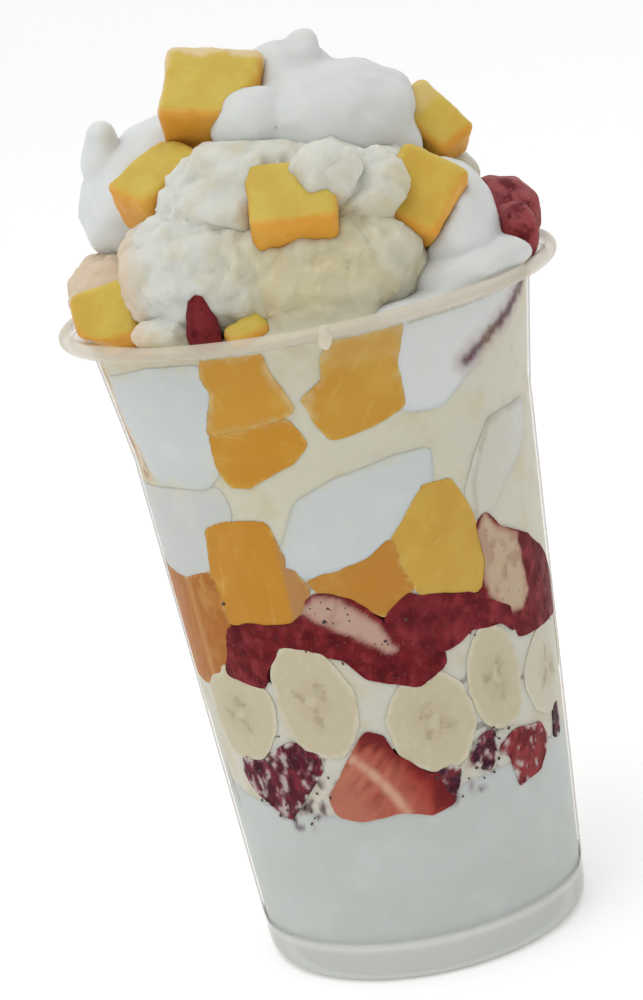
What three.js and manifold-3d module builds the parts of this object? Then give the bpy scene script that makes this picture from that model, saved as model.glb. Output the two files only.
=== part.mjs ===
// A layered fruit cup: a clear plastic cold cup with yogurt at the bottom, rings of dark fruit,
// banana and mango behind its wall, ice cream above them, and a mound of whipped cream,
// mango cubes and strawberry over the rim.
// Millimetres, +Z up, origin on the table under the cup's axis, front towards -Y, +X to the right.
// A place on the wall is an azimuth in degrees (0 at the front, positive to the right) and a height.
import * as THREE from "three";
import { mergeVertices } from "three/addons/utils/BufferGeometryUtils.js";
import { ConvexGeometry } from "three/addons/geometries/ConvexGeometry.js";
import Module from "manifold-3d";

const wasm = await Module();
wasm.setup();

// Driving dimensions of the cup: the standard 98 mm rim sets the scale of everything else.
const CUP_HEIGHT = 133.5;
const RIM_RADIUS = 49;
const LIP_RADIUS = 1.4;
const WALL = 0.6;
const UNDER_RIM = { r: 43.4, z: 130.3 };
const SHOULDER = { r: 39.6, z: 107 };
const FOOT = { r: 32.5, z: 3.1 };
const FOOT_RING = { inner: 28, outer: 30.4 };
const PUNT_RADIUS = 23.5;
const PUNT_HEIGHT = 3.4;
const HEEL = { r: 31.7, z: 0.9 };
const FLOOR_HEIGHT = 6.4;
const FLOOR_CORNER = { across: 1.2, up: 1 };
const FLARE_OUTSIDE = { r: 44.4, z: 131.5 };
const FLARE_INSIDE = [{ r: 45.2, z: 133 }, { r: 43.8, z: 132 }];
const BEAD_TURNS = [-150, -100, -50, 0, 45, 90];

// Fits and fineness.
const CLEARANCE = 0.3;
const FACETS = 32;
const OVERSHOOT = 3;
const CHAMFER = 1;
const LONGEST_MITRE = 2;

// The free space inside the flare, over the lip and above the cup.
const ROOM_IN_FLARE = [{ r: 43.5, z: 132.1 }, { r: 45.1, z: 133.8 }];
const ROOM_OVER_LIP = [{ r: 47.6, z: 134.3 }, { r: 50, z: 147.5 }];
const TOP_OF_ROOM = 200;

// Levels of the layers at the cup's axis, and how the yogurt's top waves and dips in front.
const YOGURT_LEVEL = 39.5;
const YOGURT_WAVE = 1.6;
const YOGURT_DIP = 4.8;
const FILL_LEVEL = 130.5;

// Depths from the wall inwards of what lies against it.
const DEPTH = {
  mango: 14,
  upperMango: 13,
  thinMango: 11,
  banana: 8,
  strawberry: 12,
  wedge: 10,
  berry: 8,
  berryBit: 5,
  patch: 9,
  lowPatch: 13,
  highPatch: 11,
  stream: 13,
};

// Shares that shape the soft forms: a banana's lobes, a lump's finer waves, a peak's slimming.
const BANANA_LOBE = 0.02;
const FINER_WAVE = 1.7;
const PEAK_SLIMMING = 0.82;
const PEAK_CURVE = 0.8;

// Colours.
const COLOUR = {
  plastic: 0xe9e6dd,
  yogurt: 0xe6e8e4,
  iceCream: 0xefe6c8,
  whipped: 0xf4f5f2,
  mango: 0xe8ac2c,
  banana: 0xe6d9b0,
  strawberry: 0x9c1f2a,
  darkBerry: 0x5a1530,
};

const radians = THREE.MathUtils.degToRad;

// Outer radius of the cup's wall at a height.
function wallRadius(z) {
  const [low, high] = z < SHOULDER.z ? [FOOT, SHOULDER] : [SHOULDER, UNDER_RIM];
  const along = THREE.MathUtils.clamp((z - low.z) / (high.z - low.z), 0, 1);
  return THREE.MathUtils.lerp(low.r, high.r, along);
}

function innerRadius(z) {
  return wallRadius(z) - WALL;
}

// A closed solid from a geometry, with its shared vertices merged and its faces turned outwards.
function solid(geometry) {
  const bare = geometry.clone();
  bare.deleteAttribute("normal");
  bare.deleteAttribute("uv");
  const merged = mergeVertices(bare, 1e-4);
  const place = merged.attributes.position;
  const faces = [];
  let volume = 0;
  const corner = [new THREE.Vector3(), new THREE.Vector3(), new THREE.Vector3()];
  for (let i = 0; i < merged.index.count; i += 3) {
    const ids = [0, 1, 2].map((k) => merged.index.getX(i + k));
    if (new Set(ids).size < 3) continue;
    ids.forEach((id, k) => corner[k].fromBufferAttribute(place, id));
    volume += corner[0].dot(corner[1].cross(corner[2]));
    faces.push(ids);
  }
  const outward = volume > 0 ? faces : faces.map(([a, b, c]) => [a, c, b]);
  const vertProperties = new Float32Array(place.array);
  const triVerts = new Uint32Array(outward.flat());
  return new wasm.Manifold(new wasm.Mesh({ numProp: 3, vertProperties, triVerts }));
}

function geometryOf(body) {
  const mesh = body.getMesh();
  const geometry = new THREE.BufferGeometry();
  geometry.setAttribute("position", new THREE.BufferAttribute(mesh.vertProperties, 3));
  geometry.setIndex(new THREE.BufferAttribute(mesh.triVerts, 1));
  return geometry;
}

// The biggest single body of what a cut leaves.
function biggest(body) {
  return body.decompose().reduce((best, next) => (next.volume() > best.volume() ? next : best));
}

// A turned solid from [radius, height] pairs that start and end on the axis.
function turned(profile) {
  const points = profile.map(([r, z]) => new THREE.Vector2(r, z));
  return solid(new THREE.LatheGeometry(points, FACETS).rotateX(Math.PI / 2));
}

// The cup in one wall: pushed-up base, foot ring, tapered wall, shoulder, flare and rolled lip.
function cup() {
  const lip = { r: RIM_RADIUS - LIP_RADIUS, z: CUP_HEIGHT - LIP_RADIUS };
  const outside = [
    [0, PUNT_HEIGHT],
    [PUNT_RADIUS, PUNT_HEIGHT],
    [FOOT_RING.inner, 0],
    [FOOT_RING.outer, 0],
    [HEEL.r, HEEL.z],
    [FOOT.r, FOOT.z],
    [SHOULDER.r, SHOULDER.z],
    [UNDER_RIM.r, UNDER_RIM.z],
    [FLARE_OUTSIDE.r, FLARE_OUTSIDE.z],
  ];
  const bead = BEAD_TURNS.map((turn) => [
    lip.r + LIP_RADIUS * Math.cos(radians(turn)),
    lip.z + LIP_RADIUS * Math.sin(radians(turn)),
  ]);
  const inside = [
    ...FLARE_INSIDE.map(({ r, z }) => [r, z]),
    [innerRadius(UNDER_RIM.z), UNDER_RIM.z],
    [innerRadius(SHOULDER.z), SHOULDER.z],
    [innerRadius(FLOOR_HEIGHT + FLOOR_CORNER.up), FLOOR_HEIGHT + FLOOR_CORNER.up],
    [innerRadius(FLOOR_HEIGHT) - FLOOR_CORNER.across, FLOOR_HEIGHT],
    [0, FLOOR_HEIGHT],
  ];
  return turned([...outside, ...bead, ...inside]);
}

// Everything that the contents may fill: the cup's inside less a clearance, and the space above it.
function room() {
  const side = (z) => innerRadius(z) - CLEARANCE;
  const bottom = FLOOR_HEIGHT + CLEARANCE;
  const top = ROOM_OVER_LIP.at(-1);
  return turned([
    [0, bottom],
    [side(FLOOR_HEIGHT) - FLOOR_CORNER.across, bottom],
    [side(bottom + FLOOR_CORNER.up), bottom + FLOOR_CORNER.up],
    [side(SHOULDER.z), SHOULDER.z],
    [side(UNDER_RIM.z), UNDER_RIM.z],
    ...[...ROOM_IN_FLARE, ...ROOM_OVER_LIP].map(({ r, z }) => [r, z]),
    [top.r, TOP_OF_ROOM],
    [0, TOP_OF_ROOM],
  ]);
}

// Moves a closed outline of [x, y] points outwards, square to its edges.
function offset(outline, distance) {
  const clockwise = THREE.ShapeUtils.area(outline) < 0;
  return outline.map((point, i) => {
    const before = outline[(i + outline.length - 1) % outline.length];
    const after = outline[(i + 1) % outline.length];
    const first = point.clone().sub(before).normalize();
    const second = after.clone().sub(point).normalize();
    const normal = new THREE.Vector2(first.y + second.y, -first.x - second.x).normalize();
    const across = normal.dot(new THREE.Vector2(first.y, -first.x));
    const stretch = 1 / Math.max(1 / LONGEST_MITRE, across);
    return point.clone().addScaledVector(normal, (clockwise ? -1 : 1) * distance * stretch);
  });
}

// Pushes an outline (x along the wall, y = height) straight inwards from the wall at an azimuth.
function pushedIn(outline, azimuth, depth, grow) {
  const shape = new THREE.Shape(offset(outline, grow));
  const middle = outline.reduce((sum, point) => sum + point.y, 0) / outline.length;
  const length = OVERSHOOT + depth + grow;
  const geometry = new THREE.ExtrudeGeometry(shape, { depth: length, bevelEnabled: false });
  const start = -(wallRadius(middle) + OVERSHOOT);
  geometry.rotateX(Math.PI / 2).scale(1, -1, 1).translate(0, start, 0);
  return solid(geometry.rotateZ(radians(azimuth)));
}

// A slab behind the wall whose outline is given as [azimuth, height] pairs, as it shows outside.
function slab(corners, depth) {
  const azimuths = corners.map(([azimuth]) => azimuth);
  const centre = (Math.min(...azimuths) + Math.max(...azimuths)) / 2;
  const outline = corners.map(([azimuth, z]) =>
    new THREE.Vector2(innerRadius(z) * Math.sin(radians(azimuth - centre)), z));
  return (grow) => pushedIn(outline, centre, depth, grow);
}

// A slice of banana behind the wall: an oval with three soft lobes, leaning to the left by an angle.
function bananaSlice(azimuth, z, halfWidth, halfHeight, lean) {
  const points = 8;
  const outline = [];
  for (let i = 0; i < points; i += 1) {
    const turn = (2 * Math.PI * i) / points;
    const lobe = 1 + BANANA_LOBE * Math.cos(3 * turn + azimuth);
    const spot = new THREE.Vector2(halfWidth * Math.cos(turn), halfHeight * Math.sin(turn));
    spot.multiplyScalar(lobe).rotateAround(new THREE.Vector2(), radians(lean));
    outline.push(spot.add(new THREE.Vector2(0, z)));
  }
  return (grow) => pushedIn(outline, azimuth, DEPTH.banana, grow);
}

// The corners of a box with its edges cut off by a chamfer, wider at its top by a share called taper.
function boxCorners([width, height, depth], chamfer, taper) {
  const corners = [];
  for (let i = 0; i < 8; i += 1) {
    const signs = [i & 1 ? 1 : -1, i & 2 ? 1 : -1, i & 4 ? 1 : -1];
    const widen = 1 + taper * signs[1];
    for (let keep = 0; keep < 3; keep += 1) {
      const reach = [width, height, depth].map((side, axis) =>
        signs[axis] * (side / 2 - (axis === keep ? 0 : chamfer)));
      corners.push(new THREE.Vector3(reach[0] * widen, reach[1], reach[2] * widen));
    }
  }
  return corners;
}

// A cube of mango cut by hand: size is [width, height, depth] behind its shown face, whose normal
// is turned to the right by yaw and raised by lift, and the face is rolled clockwise.
function mangoCube([x, y, z], size, { yaw = 0, lift = 0, roll = 0, taper = 0.04 }) {
  return (grow) => {
    const grown = size.map((side) => side + 2 * grow);
    const geometry = new ConvexGeometry(boxCorners(grown, CHAMFER, taper));
    geometry.rotateZ(radians(-roll)).rotateX(radians(90 - lift)).rotateZ(radians(yaw));
    return solid(geometry.translate(x, y, z));
  };
}

// A lumpy ball: radii along x, y and z, bumps of a size and a coarseness, narrower downwards by taper.
function lump([x, y, z], radii, { bump = 0.04, coarse = 3, taper = 0, detail = 2 } = {}) {
  return (grow) => {
    const geometry = new THREE.IcosahedronGeometry(1, detail);
    const spots = geometry.attributes.position;
    const way = new THREE.Vector3();
    for (let i = 0; i < spots.count; i += 1) {
      way.fromBufferAttribute(spots, i).normalize();
      const wave = Math.sin(coarse * way.x + x) * Math.cos(coarse * way.y + y)
        + Math.sin(coarse * FINER_WAVE * way.z + z);
      const swell = 1 + bump * wave;
      const narrow = 1 + taper * way.z;
      spots.setXYZ(
        i,
        way.x * (radii[0] * swell * narrow + grow),
        way.y * (radii[1] * swell * narrow + grow),
        way.z * (radii[2] * swell + grow),
      );
    }
    return solid(geometry.translate(x, y, z));
  };
}

// A soft peak that rises from its foot, narrows and bends over to its tip.
function peak(foot, tip, radius) {
  return (grow) => {
    const rings = 3;
    const sides = 6;
    const low = new THREE.Vector3(...foot);
    const high = new THREE.Vector3(...tip);
    const geometry = new THREE.CylinderGeometry(1, 1, 1, sides, rings);
    const spots = geometry.attributes.position;
    for (let i = 0; i < spots.count; i += 1) {
      const along = spots.getY(i) + 0.5;
      const reach = (radius + grow) * (1 - PEAK_SLIMMING * along ** PEAK_CURVE);
      const bend = along ** 2;
      spots.setXYZ(
        i,
        low.x + (high.x - low.x) * bend + spots.getX(i) * reach,
        low.y + (high.y - low.y) * bend - spots.getZ(i) * reach,
        low.z + (high.z - low.z) * along + grow * along,
      );
    }
    return solid(geometry);
  };
}

// Several forms melted into one.
function together(...forms) {
  return (grow) => forms.map((form) => form(grow)).reduce((sum, next) => sum.add(next));
}

// A form with a bite out of it, which another piece fills.
function bitten(form, bite) {
  return (grow) => form(grow).subtract(bite(CLEARANCE - grow));
}

// Height of the yogurt's wavy top at an azimuth and a share of the rim's radius: low in front.
function yogurtTop(azimuth, share) {
  const wave = YOGURT_WAVE * Math.sin(3 * azimuth);
  return YOGURT_LEVEL + share * (wave - YOGURT_DIP * Math.cos(azimuth));
}

// A wide disc whose two faces have their heights given at an azimuth and a share of its radius.
function layer(bottom, top) {
  const geometry = new THREE.CylinderGeometry(RIM_RADIUS, RIM_RADIUS, 1, FACETS).rotateX(Math.PI / 2);
  const spots = geometry.attributes.position;
  for (let i = 0; i < spots.count; i += 1) {
    const atTop = spots.getZ(i) > 0;
    const level = atTop ? top : bottom;
    const share = Math.hypot(spots.getX(i), spots.getY(i)) / RIM_RADIUS;
    spots.setZ(i, level(Math.atan2(spots.getX(i), -spots.getY(i)), share));
  }
  return solid(geometry);
}

const MANGO = COLOUR.mango;
const BANANA = COLOUR.banana;
const BERRY = COLOUR.darkBerry;
const RED = COLOUR.strawberry;
const WHITE = COLOUR.whipped;

// Where whipped cream and ice cream run over a corner of a mango cube.
const creamOverLeftCube = lump([-4, -15.5, 167.3], [6.8, 6.5, 6.5], { detail: 1 });
const creamOverFrontCube = lump([7.6, -31.5, 157.8], [5.6, 6, 5.6], { detail: 1 });

// Every piece that lies against the wall or on top, nearest the wall or the eye first: each one
// is cut round those before it.
const pieces = [
  ["whipped_patch_front", WHITE, slab([
    [-22, 87], [-13, 99], [-3, 102], [14, 104], [23, 104], [22, 99], [10, 90], [2, 86.5], [-8, 85],
  ], DEPTH.patch)],
  ["whipped_patch_low_left", WHITE, slab([
    [-100, 86], [-100, 100], [-61, 102], [-39, 103], [-38, 98], [-46, 96], [-49, 87], [-63, 84.5],
    [-80, 85],
  ], DEPTH.lowPatch)],
  ["whipped_patch_high_left", WHITE, slab([
    [-71, 124], [-49, 127], [-33, 127.5], [-31, 123], [-35, 115], [-38, 107], [-42, 104.6],
    [-62, 104.8], [-68, 108], [-76, 117],
  ], DEPTH.highPatch)],
  ["whipped_streak_right", WHITE, slab([
    [37, 87.5], [37, 94], [42, 100], [48, 105], [67, 105.5], [66, 100], [54, 95], [43, 89],
  ], DEPTH.patch)],
  ["banana_slice_front_left", BANANA, bananaSlice(-22.5, 60, 9.2, 12.2, 16)],
  ["banana_slice_front_right", BANANA, bananaSlice(36.5, 56.5, 7.6, 11, 10)],
  ["mango_wall_right", MANGO, slab([
    [10, 91], [17, 98], [30, 97.5], [34, 92], [37, 86], [38.5, 80], [36, 74.5], [27, 75.5],
    [16, 77.5], [12, 83],
  ], DEPTH.mango)],
  ["mango_wall_left", MANGO, slab([
    [-46, 95], [-37, 97], [-25, 96.5], [-22, 88], [-17, 83], [-19, 78], [-24, 76], [-45, 76.5],
    [-48, 86],
  ], DEPTH.mango)],
  ["mango_wall_middle", MANGO, slab([
    [-15, 84], [-8, 85.5], [2, 87], [10, 90], [14, 84], [13, 79], [4, 75], [-5, 79.5], [-12, 81.5],
  ], DEPTH.thinMango)],
  ["mango_wall_far_left", MANGO, slab([
    [-98, 86], [-63, 87], [-48, 88], [-47, 77], [-51, 69.5], [-57, 63.5], [-70, 62], [-97, 63],
  ], DEPTH.mango)],
  ["strawberry_slice_left", RED, slab([
    [-56, 66], [-47, 75], [-24, 78], [-15, 81], [-8, 80.5], [-2, 77], [8, 67.5], [17, 66.5],
    [17, 62.5], [9, 60], [-5, 64], [-11, 68.5], [-30, 72], [-38, 63.5],
  ], DEPTH.strawberry)],
  ["strawberry_half_front", RED, slab([
    [4, 69], [6, 76], [10, 79.5], [16, 77], [30, 75], [37, 72.5], [47, 69], [46, 64], [42, 67],
    [30, 68], [22, 66], [16, 65],
  ], DEPTH.strawberry)],
  ["strawberry_slice_right", RED, slab([
    [36, 74], [37, 86], [41, 89], [46, 85], [60, 80], [75, 73], [86, 64], [83, 60.5], [50, 62.5],
    [47, 68.5],
  ], DEPTH.strawberry)],
  ["banana_slice_front_middle", BANANA, bananaSlice(12.5, 52, 9.6, 10.6, 32)],
  ["banana_slice_left", BANANA, bananaSlice(-53, 57, 11.3, 10, 20)],
  ["banana_slice_right", BANANA, bananaSlice(64, 52.5, 10, 9.4, 0)],
  ["strawberry_wedge_front", RED, slab([
    [-9, 53], [-3, 51], [4, 46], [11, 42], [14, 35.5], [7, 34], [-3, 36], [-15, 35], [-22, 36.5],
    [-23, 40], [-17, 45],
  ], DEPTH.wedge)],
  ["dark_berry_left", BERRY, slab([
    [-58, 44], [-56, 47.5], [-48, 47], [-34, 51.5], [-26, 49.5], [-26, 46], [-36, 39], [-41, 35.5],
    [-54, 40.5],
  ], DEPTH.berry)],
  ["dark_berry_front", BERRY, slab([
    [11, 38.5], [11, 41.5], [16, 42.5], [18.5, 41], [16, 36.5],
  ], DEPTH.berryBit)],
  ["dark_berry_right", BERRY, slab([
    [23, 42.5], [28, 46], [32, 46.5], [33, 43], [29, 39.5],
  ], DEPTH.berryBit)],
  ["strawberry_piece_right", RED, slab([
    [34, 42], [39, 40.5], [41, 33.5], [51, 34.5], [57, 39], [54, 43], [47, 44], [41, 44],
  ], DEPTH.berry)],
  ["dark_berry_far_right", BERRY, slab([
    [64, 38], [65.5, 44], [69, 44], [68, 38],
  ], DEPTH.berryBit)],
  ["mango_upper_left_low", MANGO, slab([
    [-34, 114], [-12, 116], [-9, 111], [-13, 108], [-27, 103.8], [-32, 104.5], [-34.5, 108],
  ], DEPTH.upperMango)],
  ["mango_upper_left_high", MANGO, slab([
    [-30, 129.5], [-15, 130], [-13, 124], [-10, 118], [-13, 116.7], [-34, 115], [-33, 122],
  ], DEPTH.upperMango)],
  ["mango_upper_front", MANGO, slab([
    [-6, 119.5], [0, 122], [1, 127], [5, 130], [21, 130], [18, 122], [19, 114.5], [10, 112],
    [-1, 111], [-4, 115],
  ], DEPTH.upperMango)],
  ["mango_top_left", MANGO, bitten(
    mangoCube([-10.5, -8, 171.5], [18, 16.5, 14], { lift: 50, roll: 17 }),
    creamOverLeftCube,
  )],
  ["mango_top_slab", MANGO, mangoCube([-22.5, -15, 158.5], [16, 12, 11], {
    yaw: -25, lift: 62, roll: -56,
  })],
  ["mango_top_front", MANGO, bitten(
    mangoCube([0.5, -31, 151.5], [16, 14.5, 14], { lift: 50, roll: 6 }),
    creamOverFrontCube,
  )],
  ["mango_top_right", MANGO, mangoCube([23.5, -23, 148.5], [13, 15, 12], {
    yaw: 8, lift: 28, roll: 40,
  })],
  ["mango_top_far_right", MANGO, mangoCube([29, -1, 158.5], [14, 9, 11], {
    yaw: 12, lift: 32, roll: 60,
  })],
  ["mango_rim_left", MANGO, mangoCube([-35.5, -16, 134.5], [14, 13, 14], {
    yaw: -30, lift: 35, roll: -14,
  })],
  ["mango_bit_rim_left", MANGO, mangoCube([-27, -28, 132], [8, 6, 8], { yaw: -35, lift: 45 })],
  ["mango_bit_rim_front", MANGO, mangoCube([-12, -36, 131.5], [8, 5, 8], { lift: 50, roll: -25 })],
  ["strawberry_top_right", RED, lump([38.8, 3, 135.5], [8.2, 9, 11], {
    bump: 0.03, taper: 0.36, detail: 1,
  })],
  ["strawberry_bit_rim_front", RED, mangoCube([-20, -36.5, 136.5], [4.5, 11, 4.5], {
    yaw: -20, lift: 15, roll: -4, taper: -0.25,
  })],
  ["banana_slice_back_right", BANANA, bananaSlice(98, 57, 10, 11, -12)],
  ["banana_slice_back_middle_right", BANANA, bananaSlice(138, 54, 10.5, 10, 25)],
  ["banana_slice_back_middle", BANANA, bananaSlice(178, 58, 9.6, 11.5, -20)],
  ["banana_slice_back_middle_left", BANANA, bananaSlice(217, 54, 10.8, 10, 15)],
  ["banana_slice_back_left", BANANA, bananaSlice(256, 57, 10, 11, -8)],
  ["mango_back_right", MANGO, slab([
    [100, 77], [98, 90], [112, 95], [126, 92], [127, 79], [115, 74],
  ], DEPTH.mango)],
  ["mango_back_middle", MANGO, slab([
    [160, 76], [157, 91], [170, 97], [186, 94], [188, 80], [176, 73],
  ], DEPTH.mango)],
  ["mango_back_left", MANGO, slab([
    [214, 78], [211, 90], [226, 97], [243, 93], [242, 79], [230, 75],
  ], DEPTH.mango)],
  ["mango_back_upper_right", MANGO, slab([
    [118, 108], [115, 119], [130, 126], [144, 121], [142, 110], [131, 105],
  ], DEPTH.upperMango)],
  ["mango_back_upper_left", MANGO, slab([
    [200, 110], [198, 122], [212, 127], [228, 122], [226, 110], [213, 106],
  ], DEPTH.upperMango)],
  ["strawberry_slice_back_right", RED, slab([
    [124, 68], [128, 76], [140, 80], [154, 75], [160, 67], [150, 67], [140, 71], [131, 67],
  ], DEPTH.strawberry)],
  ["strawberry_slice_back_left", RED, slab([
    [190, 68], [193, 76], [202, 79], [211, 76], [216, 68], [203, 70],
  ], DEPTH.strawberry)],
  ["strawberry_wedge_back", RED, slab([
    [150, 44], [158, 48], [168, 45], [172, 37], [160, 35], [149, 37],
  ], DEPTH.wedge)],
  ["dark_berry_back", BERRY, slab([
    [228, 40], [229, 45], [236, 48], [244, 46], [246, 40], [238, 36],
  ], DEPTH.berry)],
  ["mango_top_back_right", MANGO, mangoCube([17, 25, 159], [16, 14, 13], {
    yaw: 160, lift: 48, roll: 15,
  })],
  ["mango_top_back_left", MANGO, mangoCube([-18, 26, 155], [16, 15, 13], {
    yaw: 205, lift: 40, roll: -22,
  })],
  ["strawberry_top_back", RED, lump([4, 36, 143], [8, 8, 10], {
    bump: 0.03, taper: 0.28, detail: 1,
  })],
];

// The whipped cream over the rim, in the order in which it was spooned on.
const whipped = [
  ["whipped_cream_top", together(
    lump([7.5, -3, 163], [19.4, 20.4, 12.8], { bump: 0.03, detail: 1 }),
    lump([15, -2, 160], [12, 15, 11], { detail: 1 }),
    lump([2, 1, 168], [13, 13, 11.5], { detail: 1 }),
    peak([6, 0, 171], [8.8, 1, 180.5], 8),
    creamOverLeftCube,
  )],
  ["whipped_cream_left", together(
    lump([-28.5, 7, 153.5], [12, 13, 11.5], { detail: 1 }),
    lump([-22, 9, 160], [12, 11, 8.5], { detail: 1 }),
    peak([-33, 6, 158], [-32.5, 8, 170], 5),
  )],
  ["whipped_cream_right", together(
    lump([29, -13, 140], [9, 18, 14], { bump: 0.02, detail: 1 }),
    lump([31, -23, 132.5], [13, 13, 7.5], { detail: 1 }),
    slab([
      [17, 132], [18, 121], [20, 114.5], [30, 113], [42, 119], [54, 132],
    ], DEPTH.stream),
  )],
  ["whipped_cream_back", together(
    lump([16, 24, 148], [14, 12, 10], { detail: 1 }),
    peak([16, 26, 153], [22, 27, 160], 6),
  )],
];

// The lumps of ice cream that carry the whipped cream and stand over the rim.
const iceCreamLumps = together(
  lump([-19, -21, 143.5], [15, 17, 12], { bump: 0.05, detail: 1 }),
  lump([-11.5, -19.5, 154], [13.5, 13, 10.5], { detail: 1 }),
  lump([3, -25, 139], [20, 15.5, 16], { detail: 1 }),
  lump([12, -23.5, 151.5], [11, 10, 8.5], { detail: 1 }),
  creamOverFrontCube,
  lump([11, -10, 149], [17, 17, 12], { detail: 1 }),
  lump([0, 14, 145], [25, 21, 17], { detail: 1 }),
  lump([21, 6, 142], [17, 20, 15], { detail: 1 }),
  lump([-35, 2, 137], [10, 14, 9], { detail: 1 }),
  lump([37, -8, 130.5], [9, 18, 6.5], { detail: 1 }),
);

const group = new THREE.Group();

function show(name, colour, roughness, body) {
  const material = new THREE.MeshStandardMaterial({ color: colour, roughness, metalness: 0 });
  const mesh = new THREE.Mesh(geometryOf(body), material);
  mesh.name = name;
  group.add(mesh);
}

function boxesMeet(one, other) {
  const first = one.boundingBox();
  const second = other.boundingBox();
  return [0, 1, 2].every((i) => first.min[i] < second.max[i] && second.min[i] < first.max[i]);
}

// Cuts a body round every body of a list that comes near it.
function cutRound(body, others) {
  return others.reduce((left, other) => (boxesMeet(left, other) ? left.subtract(other) : left), body);
}

const space = room();
const pockets = [];

show("cup", COLOUR.plastic, 0.15, cup());

for (const [name, colour, form] of pieces) {
  show(name, colour, 0.4, biggest(cutRound(form(0).intersect(space), pockets)));
  pockets.push(form(CLEARANCE));
}

for (const [name, form] of whipped) {
  show(name, COLOUR.whipped, 0.5, biggest(cutRound(form(0).intersect(space), pockets)));
  pockets.push(form(CLEARANCE));
}

const yogurt = layer(() => 0, yogurtTop).intersect(space);
show("yogurt", COLOUR.yogurt, 0.4, biggest(cutRound(yogurt, pockets)));

const filling = layer((...place) => yogurtTop(...place) + CLEARANCE, () => FILL_LEVEL);
const iceCream = filling.add(iceCreamLumps(0)).intersect(space);
show("ice_cream", COLOUR.iceCream, 0.5, biggest(cutRound(iceCream, pockets)));

export default group;
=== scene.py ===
"""Look of the layered fruit cup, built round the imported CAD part. Metres, +Z up, front towards -Y.

Shapes are worked out in millimetres. A place on the wall is an azimuth in degrees, 0 at the front
and positive to the right, with a height.
"""

import math
import random

import bmesh
import bpy
import numpy as np
from mathutils import Matrix, Vector, kdtree, noise


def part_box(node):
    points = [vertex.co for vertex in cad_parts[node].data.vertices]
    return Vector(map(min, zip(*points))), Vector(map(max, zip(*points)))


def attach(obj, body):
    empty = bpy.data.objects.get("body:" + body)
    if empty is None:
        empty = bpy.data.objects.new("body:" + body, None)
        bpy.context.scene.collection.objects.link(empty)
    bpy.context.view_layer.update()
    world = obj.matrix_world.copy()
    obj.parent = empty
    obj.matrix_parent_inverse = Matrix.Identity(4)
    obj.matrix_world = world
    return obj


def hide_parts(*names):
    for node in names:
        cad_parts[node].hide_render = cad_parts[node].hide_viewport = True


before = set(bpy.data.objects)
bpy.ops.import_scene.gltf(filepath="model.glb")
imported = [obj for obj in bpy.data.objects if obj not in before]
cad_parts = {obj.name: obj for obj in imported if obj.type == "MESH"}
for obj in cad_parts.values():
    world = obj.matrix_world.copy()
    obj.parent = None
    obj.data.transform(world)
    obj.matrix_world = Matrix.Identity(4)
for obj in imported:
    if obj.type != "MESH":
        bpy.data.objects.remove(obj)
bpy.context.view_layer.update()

MM = 0.001
# The cup's outer wall, its heights and radii, and its thickness. The lip begins at RIM_Z.
WALL_Z = [0.0, 3.1, 107.0, 130.3]
WALL_R = [32.5, 32.5, 39.6, 43.4]
WALL = 0.6
RIM_Z = 130.3
ROLLED_R = 38.0  # the radius at which the wall is rolled out flat
APART = 37.0  # moves each piece's texture, so that no two pieces match
SHARP_EDGE = math.radians(46)


def linear(red, green, blue):
    """Linear colour of an sRGB one given in 0..255."""
    values = [c / 255 for c in (red, green, blue)]
    return tuple(c / 12.92 if c <= 0.04045 else ((c + 0.055) / 1.055) ** 2.4 for c in values)


# Colours as the real thing shows them.
WHIPPED = linear(211, 213, 211)
YOGURT = linear(189, 193, 189)
ICE_CREAM = linear(205, 202, 182)
ICE_YELLOW = linear(196, 183, 142)
BEIGE = linear(212, 188, 160)
SMEAR_SHADOW = linear(150, 110, 82)
# The two mango colours below are one flesh in painted light and painted shade: the paler yellow for faces
# turned up, the deeper orange for faces turned aside.
MANGO_LIT_TOP = linear(203, 179, 80)
MANGO_SHADED_SIDE = linear(200, 142, 48)
BANANA = linear(192, 182, 153)
BANANA_CORE = linear(184, 171, 142)
BANANA_SEED = linear(163, 150, 120)
RED_SKIN = linear(110, 24, 28)
RED_DARK = linear(78, 14, 22)
FLESH = linear(184, 154, 138)
BERRY = linear(84, 20, 38)
PURPLE = linear(60, 32, 44)
RIM = linear(210, 200, 180)


# ---------------------------------------------------------------- mesh helpers


def inner(z):
    """Inner radius of the cup's wall at a height."""
    return np.interp(z, WALL_Z, WALL_R) - WALL


def on_wall(azimuth, z, reach=0.0):
    """A place on the wall's inner face, or a reach beyond it."""
    turn = math.radians(azimuth)
    r = float(inner(z)) + reach
    return Vector((r * math.sin(turn), -r * math.cos(turn), z))


def azimuths(p):
    return np.degrees(np.arctan2(p[:, 0], -p[:, 1]))


def ease(x):
    """Smooth step from 0 to 1."""
    x = np.clip(x, 0, 1)
    return x * x * (3 - 2 * x)


def waves(p, size, seed, octaves=1):
    """Smooth noise of about -1 to 1 at points, with features of a size in millimetres."""
    places = (p / size + np.array([7.1, 3.3, -5.7]) * seed).tolist()
    if octaves == 1:
        return np.array([noise.noise(q) for q in places])
    return np.array([noise.fractal(q, 1.0, 2.0, octaves) for q in places])


def triples(items, key):
    flat = np.empty(len(items) * 3)
    items.foreach_get(key, flat)
    return flat.reshape(-1, 3)


def points_of(mesh):
    return triples(mesh.vertices, "co") / MM


def read(mesh):
    """Points and normals."""
    return points_of(mesh), triples(mesh.vertex_normals, "vector")


def place_points(mesh, points):
    mesh.vertices.foreach_set("co", (points * MM).ravel())
    mesh.update()


def put(mesh, **layers):
    """Stores numbers, vectors or colours per vertex for the shaders."""
    kinds = {1: ("FLOAT", "value"), 3: ("FLOAT_VECTOR", "vector"), 4: ("FLOAT_COLOR", "color")}
    for name, values in layers.items():
        kind, key = kinds[1 if values.ndim == 1 else values.shape[1]]
        layer = mesh.attributes.new(name, kind, "POINT")
        layer.data.foreach_set(key, np.ascontiguousarray(values, dtype=np.float32).ravel())


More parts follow.
